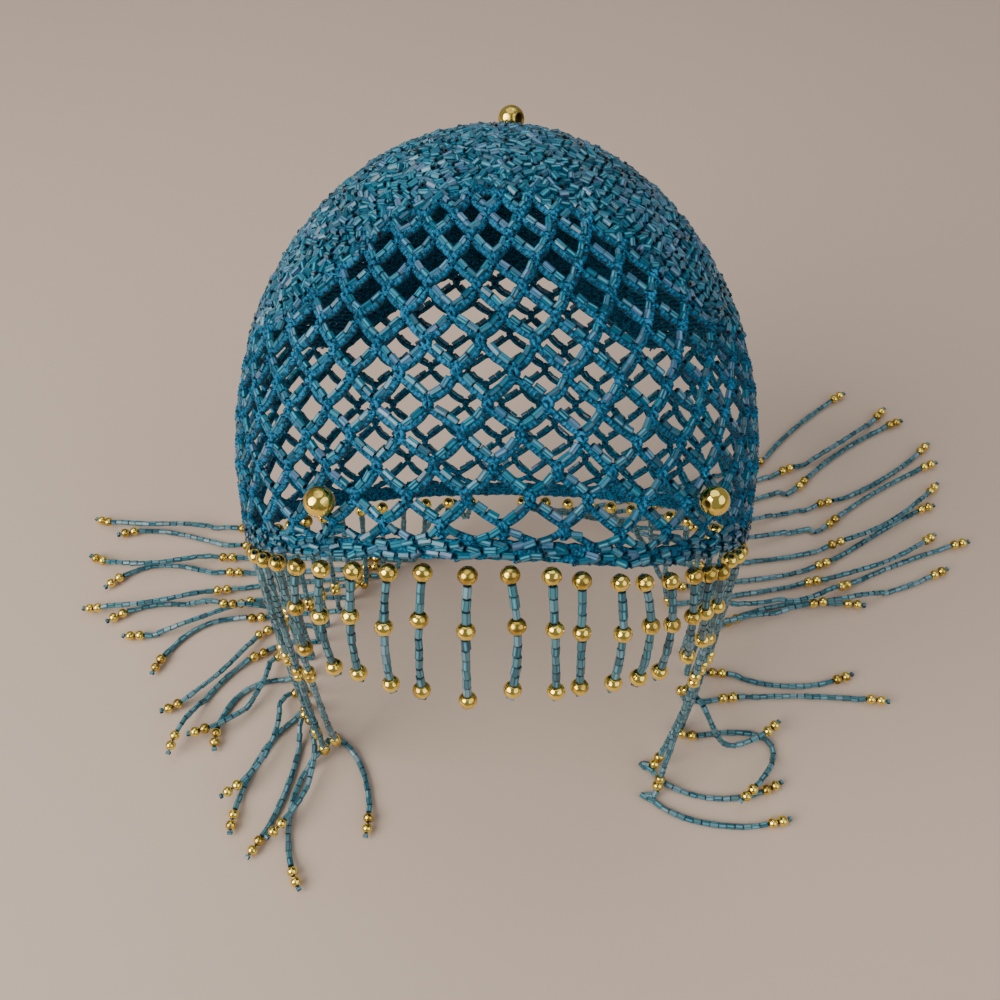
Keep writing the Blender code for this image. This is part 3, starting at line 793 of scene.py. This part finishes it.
def loop_side(row, column, columns, side, stitch):
    """One side of a hanging loop, from the knot above down to the knot that it is caught by."""
    low_fraction, low_azimuth = knot_place(row, column, columns)
    top_fraction, top_azimuth = knot_place(row + 1, upper_columns(row, column)[side], columns)
    chance = random.Random(77 * row + 13 * column + side)
    sag, late, apart = LOOP_SIDES[side]
    sag += chance.uniform(-0.04, 0.04)
    start = top_fraction + stitch / CAP_LENGTH
    drop = low_fraction - stitch / CAP_LENGTH - start
    turn = low_azimuth - top_azimuth
    fractions, azimuths = [], []
    for k in range(LOOP_STEPS + 1):
        t = k / LOOP_STEPS
        fractions.append(start + drop * t + sag * 4.0 * t * (1.0 - t) * max(drop, 0.006))
        azimuths.append(top_azimuth + turn * t ** late + apart * (1.0 - 2.0 * t))
    return fractions, azimuths


def beside(route, side, distance):
    """The route moved sideways towards the crown by the distance, less so at its two ends."""
    out = []
    for k, point in enumerate(route):
        along = (route[min(k + 1, len(route) - 1)] - route[max(k - 1, 0)]).normalized()
        upwards = (point - HOLLOW_CENTRE).normalized().cross(along) * (-1.0 if side else 1.0)
        out.append(point + upwards * distance * math.sin(math.pi * (0.12 + 0.76 * k / (len(route) - 1))))
    return out


def open_knots(rows, columns):
    """Row and column of each knot outside the close crown."""
    return [(row, column) for row in rows for column in range(columns)
            if not in_close_crown(row, column, columns)]


def bugle_pair(route, side, bugle, rise, extra_rise, aside):
    """Two spots for bugles end to end beside a route's middle, each with its direction and its outward."""
    total = route_length(route)
    pitch = min(bugle * 1.07, 0.5 * total * 1.02)
    pair = []
    for step, place in enumerate((0.5 * total - 0.5 * pitch, 0.5 * total + 0.5 * pitch)):
        behind, spot, ahead = resample(route, [place - 0.45 * bugle, place, place + 0.45 * bugle])
        along = (ahead - behind).normalized()
        out = (spot - HOLLOW_CENTRE).normalized()
        upwards = out.cross(along) * (-1.0 if side else 1.0)
        lift = rise + (extra_rise if total < 2.1 * bugle and step else 0.0)
        pair.append((spot + upwards * aside + out * lift, along, out))
    return pair


def loops(rows, sizes, stitch, thread_lift, bugle_lift, aside, seed, ease=0.10, left_out=0.0):
    """Thread routes and bugle places for the loops of these rows; the bugles sit on the crown side."""
    chance = random.Random(seed)
    routes, places = [], []
    for row, column in open_knots(rows, sizes.columns):
        for side in (0, 1):
            way = loop_side(row, column, sizes.columns, side, stitch)
            route = [cap_point(fraction, azimuth, thread_lift) for fraction, azimuth in zip(*way)]
            routes.append(beside(route, side, -0.40 * aside))
            for spot, along, out in bugle_pair(route, side, sizes.bugle_length, bugle_lift - thread_lift,
                                               0.25 * MM, aside):
                tilt = Vector([chance.uniform(-ease, ease) for _ in range(3)])
                if chance.random() >= left_out:
                    places.append(Place(spot, along + tilt, out, (1.0, 1.0, chance.uniform(0.90, 1.06))))
    return routes, places


def knots(rows, columns, length, lift=1.05 * MM, lean=0.0, width=1.0):
    """One upright stitch at each knot."""
    places = []
    for row, column in open_knots(rows, columns):
        fraction, azimuth = knot_place(row, column, columns)
        spot = cap_point(fraction, azimuth, lift)
        down = (cap_point(fraction + 0.004, azimuth, lift) - spot).normalized()
        normal = cap_normal(fraction, azimuth)
        down += normal.cross(down) * lean
        places.append(Place(spot, down, normal, (width, width, length)))
    return places


def resample(points, distances):
    """Points at the given distances along a fine polyline."""
    lengths = [0.0]
    for a, b in zip(points, points[1:]):
        lengths.append(lengths[-1] + (b - a).length)
    out = []
    for distance in distances:
        distance = min(max(distance, 0.0), lengths[-1])
        k = 0
        while k < len(points) - 2 and lengths[k + 1] < distance:
            k += 1
        span = lengths[k + 1] - lengths[k]
        out.append(points[k].lerp(points[k + 1], (distance - lengths[k]) / span if span > 0.0 else 0.0))
    return out


def route_length(points):
    return sum((b - a).length for a, b in zip(points, points[1:]))


def string_root(azimuth):
    return cap_point(below_rim(GAP + BACKING_DEPTH), azimuth, BACKING_MIDDLE)


def front_beads(string, rim_bead):
    """Distances of a front string's three beads."""
    second = string.drop + rim_bead / MM + string.upper
    third = second + rim_bead / MM + string.lower
    return string.drop * MM, second * MM, third * MM


def front_route(string, rim_bead):
    """Down the front of the hollow, then straight down where that turns inwards."""
    root = string_root(string.azimuth)
    offset = root - HOLLOW_CENTRE
    seated = hollow_size(BACKING_MIDDLE)
    turn = math.atan2(offset.x / seated.x, -offset.y / seated.y)
    latitude = math.asin(offset.z / seated.z)
    sideways = Vector((math.cos(turn), math.sin(turn), 0.0))
    first, second, third = front_beads(string, rim_bead)
    reach = third + rim_bead
    points = [root]
    for k in range(1, FINE_STEPS + 1):
        travelled = k * reach / FINE_STEPS
        grown = (STAND_OFF - BACKING_MIDDLE) * min(1.0, travelled / STAND_OFF_RUN)
        size = hollow_size(BACKING_MIDDLE + grown)
        down = latitude - travelled / size.z
        level = math.cos(max(0.0, down))
        drop = math.sin(down) if down > 0.0 else down
        spot = Vector((math.sin(turn) * level * size.x, -math.cos(turn) * level * size.y, drop * size.z))
        past = max(0.0, travelled - first)
        middle_share = past * (third - travelled) / ((second - first) * (third - second))
        end_share = past * (travelled - second) / ((third - first) * (third - second))
        sway = (string.middle_sway * middle_share + string.end_sway * end_share) * MM
        points.append(HOLLOW_CENTRE + spot + sideways * sway)
    return points


def bezier(a, b, c, d, share):
    rest = 1.0 - share
    return a * rest ** 3 + b * 3 * rest * rest * share + c * 3 * rest * share * share + d * share ** 3


def long_points(azimuth, string, reach):
    """From the rim to the surface, met at a share of the way to the middle, and on to the end."""
    root = string_root(azimuth)
    middle = Vector((string.middle_x * MM, string.middle_y * MM, LYING_Z))
    end = Vector((string.end_x * MM, string.end_y * MM, LYING_Z))
    foot = Vector((root.x, root.y, LYING_Z))
    touch = foot.lerp(middle, reach)
    along = middle - foot
    outward = Vector((root.x, root.y, 0.0)).normalized() * 3.0 * MM
    start = root + outward - Vector((0.0, 0.0, 0.62 * (root.z - LYING_Z)))
    onward = touch + along.normalized() * (middle - touch).length * 0.33
    run = end - middle
    left = Vector((-run.y, run.x, 0.0)).normalized() * string.bow_mm * MM
    into = (end - touch) * 0.33
    steps = FINE_STEPS // 4
    points = []
    for a, b, c, d, parts, last in (
            (root, start, touch - along * 0.45 * reach, touch, steps, 0),
            (touch, onward, middle - into * 0.6 - left * 0.4, middle, steps, 0),
            (middle, middle + into * 0.6 + left * 1.3, end - run * 0.3 + left * 1.3, end, 2 * steps, 1)):
        points += [bezier(a, b, c, d, k / parts) for k in range(parts + last)]
    return points


def long_route(azimuth, string):
    """The touching point is set so that the string has its length, as far as its places allow."""
    near, far = 0.08, 0.9
    for _ in range(24):
        reach = 0.5 * (near + far)
        if route_length(long_points(azimuth, string, reach)) > LONG_LENGTH:
            near = reach
        else:
            far = reach
    points = long_points(azimuth, string, 0.5 * (near + far))
    total = route_length(points)
    return resample(points, evenly(0.0, total, FINE_STEPS))


def lift_over(route, laid):
    """Where a string crosses one laid before it, it goes over in a long low hump."""
    if not laid:
        return route
    tree = KDTree(sum(len(other) for other in laid))
    for other in laid:
        for point in other:
            tree.insert(point, 0)
    tree.balance()
    step = route_length(route) / (len(route) - 1)
    lifted = list(route)
    for _ in range(LIFT_ROUNDS):
        low = [k for k, point in enumerate(lifted)
               if k * step > CROSSING_REACH and tree.find(point)[2] < CROSSING_DISTANCE]
        if not low:
            break
        for k in range(len(lifted)):
            away = min(abs(k - peak) for peak in low) * step
            if away < CROSSING_REACH:
                share = 0.5 + 0.5 * math.cos(math.pi * away / CROSSING_REACH)
                lifted[k] = lifted[k] + Vector((0.0, 0.0, LIFT_STEP * share))
    return lifted


def long_routes(strings, first_azimuth, direction):
    routes = []
    for index, string in enumerate(strings):
        route = long_route(first_azimuth + direction * LONG_SPACING * index, string)
        routes.append(lift_over(route, routes))
    return routes


def frame_at(route, distance, span):
    """The spot at a distance along a route, and its direction over a span to both sides."""
    behind, spot, ahead = resample(route, [distance - span, distance, distance + span])
    return spot, (ahead - behind).normalized()


def evenly(begin, finish_at, count):
    return [begin + (finish_at - begin) * k / count for k in range(count + 1)]


class StringParts:
    """Collects the places of bugles and beads and the thread of a set of strings."""

    def __init__(self, seed):
        self.chance = random.Random(seed)
        self.bugles = []
        self.beads = {}
        self.threads = []

    def place(self, spot, along, ease, stretch):
        """A place whose direction strays by up to the ease."""
        out = Vector((along.y, -along.x, 0.2)).normalized()
        tilt = Vector([self.chance.uniform(-ease, ease) for _ in range(3)])
        return Place(spot, along + tilt, out, stretch)

    def bead(self, route, distance, diameter):
        spot, along = frame_at(route, distance, 0.5 * diameter)
        self.beads.setdefault(diameter, []).append(self.place(spot, along, 0.08, (1.0, 1.0, 0.94)))

    def run(self, route, begin, finish_at, bugle, ease):
        """Bugles end to end between two places."""
        count = max(1, round((finish_at - begin) / (bugle * 1.04)))
        pitch = (finish_at - begin) / count
        for k in range(count):
            spot, along = frame_at(route, begin + (k + 0.5) * pitch, 0.4 * pitch)
            made = self.place(spot, along, ease, None)
            wide = self.chance.uniform(1.18, 1.34)
            self.bugles.append(made._replace(stretch=(wide, wide, min(1.05, 0.95 * pitch / bugle))))

    def thread(self, route, finish_at, step=4.0 * MM):
        count = max(2, round(finish_at / step))
        self.threads.append(resample(route, evenly(0.0, finish_at, count)))


def settled(route, beads, radius_gap):
    """The string sags between its beads until its bugles lie on the surface."""
    step = route_length(route) / (len(route) - 1)
    out = []
    for k, point in enumerate(route):
        away = min(abs(k * step - bead) for bead in beads)
        share = min(1.0, max(0.0, (away - 3.0 * MM) / (7.0 * MM)))
        share = share * share * (3.0 - 2.0 * share)
        low = point.z < LYING_Z + 0.4 * MM
        out.append(point - Vector((0.0, 0.0, radius_gap * share if low else 0.0)))
    return out


def crown_places():
    """Bugles that lie this way and that along a spiral over the close crown, and stitches by every third."""
    chance = random.Random(41)
    places, stitches = [], []
    height = 1.0 - math.cos(math.radians((CROWN_FOOT + CROWN_FOOT_AT_SIDES) * RIM_AT_SIDE))
    for k in range(CROWN_BUGLES):
        azimuth = GOLDEN_TURN * k + chance.uniform(-0.4, 0.4)
        polar = math.degrees(math.acos(1.0 - height * (k + 0.5) / CROWN_BUGLES))
        fraction = polar / RIM_AT_SIDE + chance.uniform(-0.002, 0.002)
        if fraction > close_foot(azimuth) + chance.uniform(-0.020, 0.015):
            continue
        normal = cap_normal(fraction, azimuth)
        inner, lower = (cap_point(share, azimuth, 0.0) for share in (fraction, fraction + 0.004))
        down = (lower - inner).normalized()
        slope = chance.uniform(-1.45, 1.45)
        along = normal.cross(down) * math.cos(slope) + down * math.sin(slope)
        spot = cap_point(fraction, azimuth, chance.uniform(1.15, 1.95) * MM)
        places.append(Place(spot, along + normal * chance.uniform(-0.30, 0.30), normal,
                            (1.0, 1.0, chance.uniform(0.84, 1.0))))
        if k % 3 == 0:
            across = along.cross(normal) * 1.1 * MM
            stitches.append([spot + across * turn - normal * sink * MM for turn, sink in CROWN_STITCH])
    return places, stitches


def ground_rounds(shares, lift, foot=lambda azimuth: 1.0):
    """Routes of close rounds of thread at shares of the way to the foot, which wave a little."""
    routes = []
    for k, share in enumerate(shares):
        around = 2 * math.pi * 86.0 * MM * math.sin(share * foot(45.0) * math.radians(RIM_AT_SIDE))
        count = max(6, round(around / (2.2 * MM)))
        route = []
        for c in range(count + 1):
            turn = 360.0 * (c % count) / count
            fraction = share * foot(turn) + 0.0011 * (-1) ** (c + k)
            route.append(cap_point(fraction, turn, lift + 0.15 * MM * ((c + k) % 3)))
        routes.append(route)
    return routes


class BEADCAP_OT_net(bpy.types.Operator):
    """Makes the open diamond net of the cap"""
    bl_idname = "beadcap.net"
    bl_label = "Diamond net"

    def execute(self, context):
        sizes = context.scene.bead_cap_sizes
        rows = range(NET_ROWS)
        routes, places = loops(rows, sizes, 1.1 * MM, thread_lift=0.90 * MM, bugle_lift=1.35 * MM,
                               aside=0.88 * MM, seed=21)
        bugle, stitch = bugle_shape(sizes), knot_shape(1.50 * MM, 0.48 * MM, 1.50 * MM)
        bugles = set_out("net_bugles", places, bugle, "net_glass", 5)
        chance = random.Random(37)
        lumps = [[chance.uniform(0.74, 1.12) for _ in route] for route in routes]
        thread = spin_thread("net_thread", routes, sizes.thread, thick=lumps)
        crossed = knots(rows, sizes.columns, 4.7 * MM, lean=0.18)
        crossed += knots(rows, sizes.columns, 4.1 * MM, lift=1.40 * MM, lean=-0.34, width=0.92)
        stitches = set_out("net_knots", crossed, stitch, "thread", 8, spin=0.25)
        for piece in (bugles, thread, stitches):
            hand_over(piece, "teal_net", "crown_net")
        clear_away(bugle, stitch)
        return {"FINISHED"}


class BEADCAP_OT_crown(bpy.types.Operator):
    """Makes the close bugles of the crown and the thread between and below them"""
    bl_idname = "beadcap.crown"
    bl_label = "Crown"

    def execute(self, context):
        sizes = context.scene.bead_cap_sizes
        places, routes = crown_places()
        bugle = bugle_shape(sizes)
        bugles = set_out("crown_bugles", places, bugle, "net_glass", 15)
        thread = spin_thread("crown_thread", routes, 0.9 * MM, sides=4)
        shares = [(k + 0.4) / CROWN_ROUNDS for k in range(CROWN_ROUNDS)]
        ground = spin_thread("crown_ground", ground_rounds(shares, 0.5 * MM, close_foot), 1.5 * MM, sides=4)
        for piece in (bugles, thread, ground):
            hand_over(piece, "teal_net", "crown_net")
        clear_away(bugle)
        return {"FINISHED"}


class BEADCAP_OT_band(bpy.types.Operator):
    """Makes the close rows of the rim band"""
    bl_idname = "beadcap.band"
    bl_label = "Rim band"

    def execute(self, context):
        sizes = context.scene.bead_cap_sizes
        rows = range(-len(BAND_ROWS), 0)
        routes, places = loops(rows, sizes, 0.2 * MM, thread_lift=1.0 * MM, bugle_lift=1.7 * MM,
                               aside=0.3 * MM, seed=33, ease=0.30, left_out=0.25)
        bugle, stitch = bugle_shape(sizes), knot_shape(1.1 * MM, 0.32 * MM, 0.6 * MM)
        bugles = set_out("band_bugles", places, bugle, "net_glass", 25)
        thread = spin_thread("band_thread", routes, sizes.thread)
        places = knots(rows, sizes.columns, 2.0 * MM)
        stitches = set_out("band_knots", places, stitch, "thread", 28, spin=0.3)
        ground = spin_thread("band_ground", ground_rounds(BAND_GROUND, 0.6 * MM), 1.2 * MM)
        for piece in (bugles, thread, stitches, ground):
            hand_over(piece, "teal_net", "rim_band")
        clear_away(bugle, stitch)
        return {"FINISHED"}


class BEADCAP_OT_big_beads(bpy.types.Operator):
    """Makes the three big gold beads"""
    bl_idname = "beadcap.big_beads"
    bl_label = "Big gold beads"

    def execute(self, context):
        for number, (node, axis, size, hole) in enumerate(BIG_BEADS):
            low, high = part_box(node)
            spot = (Vector(low) + Vector(high)) / 2
            shape = bead_shape(getattr(context.scene.bead_cap_sizes, size), hole, sides=40, steps=24)
            places = [Place(spot, Vector(axis), Vector((0.0, 0.1, 1.0)), (1.0, 1.0, 1.0))]
            bead = set_out(node + "_plated", places, shape, "gold", 50 + number, unevenness=0.0, spin=0.0)
            hand_over(bead, "gold_bead", node)
            clear_away(shape)
        return {"FINISHED"}


def make_strings(node, parts, sizes, seed):
    """The finished pieces of a set of strings."""
    shapes = [bugle_shape(sizes)]
    pieces = [(set_out(node + "_bugles", parts.bugles, shapes[0], "string_glass", seed), "teal_string")]
    beads = []
    for number, (diameter, places) in enumerate(sorted(parts.beads.items())):
        shapes.append(bead_shape(diameter, sizes.bead_hole * diameter))
        beads.append(set_out("%s_gold_%d" % (node, number), places, shapes[-1], "gold", seed + 3, 0.03, 3.1))
    pieces.append((joined(node + "_beads", beads) if len(beads) > 1 else beads[0], "gold_bead"))
    pieces.append((spin_thread(node + "_thread", parts.threads, sizes.cord_thread), "teal_string"))
    for piece, slot in pieces:
        hand_over(piece, slot, node)
    clear_away(*shapes)


class BEADCAP_OT_front_fringe(bpy.types.Operator):
    """Makes the short strings at the front"""
    bl_idname = "beadcap.front_fringe"
    bl_label = "Front fringe"

    def execute(self, context):
        sizes = context.scene.bead_cap_sizes
        parts = StringParts(61)
        for string in FRONT_STRINGS:
            self.string(parts, string, sizes)
        make_strings("front_fringe", parts, sizes, 71)
        return {"FINISHED"}

    def string(self, parts, string, sizes):
        """Three beads, two runs of bugles and a stopper bugle across the end."""
        bead = sizes.rim_bead
        half = 0.46 * bead
        route = front_route(string, bead)
        first, second, third = front_beads(string, bead)
        for distance in (first, second, third):
            parts.bead(route, distance, bead)
        parts.run(route, first + half, second - half, sizes.bugle_length, 0.07)
        parts.run(route, second + half, third - half, sizes.bugle_length, 0.09)
        parts.thread(route, third + 0.5 * bead)
        spot, _ = frame_at(route, third + 0.56 * bead, 1.0 * MM)
        lean = Vector((parts.chance.choice((-1.0, 1.0)), -0.2, parts.chance.uniform(-0.6, 0.2)))
        parts.bugles.append(Place(spot, lean, Vector((0.0, -1.0, 0.0)), (1.0, 1.0, 0.62)))


class BEADCAP_OT_long_fringe(bpy.types.Operator):
    """Makes the long strings at the sides"""
    bl_idname = "beadcap.long_fringe"
    bl_label = "Long fringe"

    def execute(self, context):
        sizes = context.scene.bead_cap_sizes
        for node, strings, first, direction, seed in (
                ("fringe_left", LEFT_STRINGS, LEFT_FIRST_AZIMUTH, -1, 81),
                ("fringe_right", RIGHT_STRINGS, RIGHT_FIRST_AZIMUTH, 1, 91)):
            parts = StringParts(seed)
            for route in long_routes(strings, first, direction):
                self.string(parts, route, sizes)
            make_strings(node, parts, sizes, seed + 2)
        return {"FINISHED"}

    def string(self, parts, route, sizes):
        """A rim bead, three runs that each end in a pair of beads, and a stopper bugle across the end."""
        pair = sizes.pair_bead
        total = route_length(route)
        stops = [FIRST_BEAD_DROP, total / 3, 2 * total / 3, total - 1.3 * pair]
        route = settled(route, stops, 1.1 * MM)
        parts.bead(route, stops[0], sizes.rim_bead)
        begin = stops[0] + 0.46 * sizes.rim_bead
        for stop in stops[1:]:
            parts.run(route, begin, stop - 0.97 * pair, sizes.bugle_length, 0.10)
            parts.bead(route, stop - 0.5 * pair, pair)
            parts.bead(route, stop + 0.48 * pair, pair)
            begin = stop + 0.95 * pair
        parts.thread(route, total - 0.1 * pair)
        spot, along = frame_at(route, total - 0.12 * pair, 1.0 * MM)
        up = Vector((0.0, 0.0, 1.0))
        parts.bugles.append(Place(spot, along.cross(up), up, (0.9, 0.9, 0.55)))


class BEADCAP_OT_stage(bpy.types.Operator):
    """Sets the floor, the soft lights and the camera"""
    bl_idname = "beadcap.stage"
    bl_label = "Stage"

    def execute(self, context):
        self.floor()
        for light in LIGHTS:
            self.light(light)
        self.room(context.scene)
        self.camera(context.scene)
        return {"FINISHED"}

    def floor(self):
        mesh = bpy.data.meshes.new("floor")
        side, level = FLOOR_REACH, FLOOR_Z - FLOOR_CLEARANCE
        corners = [(-side, -side, level), (side, -side, level), (side, side, level), (-side, side, level)]
        mesh.from_pydata(corners, [], [(0, 1, 2, 3)])
        mesh.materials.append(finish("floor"))
        link("floor", mesh)

    def light(self, light):
        data = bpy.data.lights.new(light.name, "AREA")
        data.shape = "DISK"
        data.size = light.size
        data.energy = light.power
        data.color = light.colour
        made = link(light.name, data)
        made.location = light.place
        made.rotation_euler = (HOLLOW_CENTRE - Vector(light.place)).to_track_quat("-Z", "Y").to_euler()

    def room(self, scene):
        world = bpy.data.worlds.new("soft_room")
        world.use_nodes = True
        background = world.node_tree.nodes["Background"]
        background.inputs["Color"].default_value = ROOM_COLOUR
        background.inputs["Strength"].default_value = ROOM_LIGHT
        scene.world = world

    def camera(self, scene):
        camera = bpy.data.cameras.new("camera")
        camera.lens = CAMERA_LENS
        camera.sensor_width = 36.0
        camera.shift_x = CAMERA_SHIFT
        camera.clip_start = 0.01
        scene.camera = link("camera", camera)
        scene.camera.location = CAMERA_PLACE
        scene.camera.rotation_euler = (math.radians(90.0 - CAMERA_DIP), 0.0, 0.0)


class BEADCAP_PT_panel(bpy.types.Panel):
    """Lists the cap's sizes, colours and makers"""
    bl_idname = "BEADCAP_PT_panel"
    bl_label = "Bead cap"
    bl_space_type = "VIEW_3D"
    bl_region_type = "UI"
    bl_category = "Bead cap"

    def draw(self, context):
        layout = self.layout
        for group in (context.scene.bead_cap_sizes, context.scene.bead_cap_colours):
            for name in group.__annotations__:
                layout.prop(group, name)
        for operator in OPERATORS:
            layout.operator(operator.bl_idname)


OPERATORS = (BEADCAP_OT_stage, BEADCAP_OT_net, BEADCAP_OT_crown, BEADCAP_OT_band, BEADCAP_OT_big_beads,
             BEADCAP_OT_front_fringe, BEADCAP_OT_long_fringe)
CLASSES = (CapSizes, CapColours) + OPERATORS + (BEADCAP_PT_panel,)


def register():
    for made in CLASSES:
        bpy.utils.register_class(made)
    bpy.types.Scene.bead_cap_sizes = PointerProperty(type=CapSizes)
    bpy.types.Scene.bead_cap_colours = PointerProperty(type=CapColours)


def unregister():
    del bpy.types.Scene.bead_cap_colours
    del bpy.types.Scene.bead_cap_sizes
    for made in reversed(CLASSES):
        bpy.utils.unregister_class(made)


def main():
    register()
    bpy.ops.beadcap.stage()
    bpy.ops.beadcap.net()
    bpy.ops.beadcap.crown()
    bpy.ops.beadcap.band()
    bpy.ops.beadcap.big_beads()
    bpy.ops.beadcap.front_fringe()
    bpy.ops.beadcap.long_fringe()


if __name__ == "__main__":
    main()
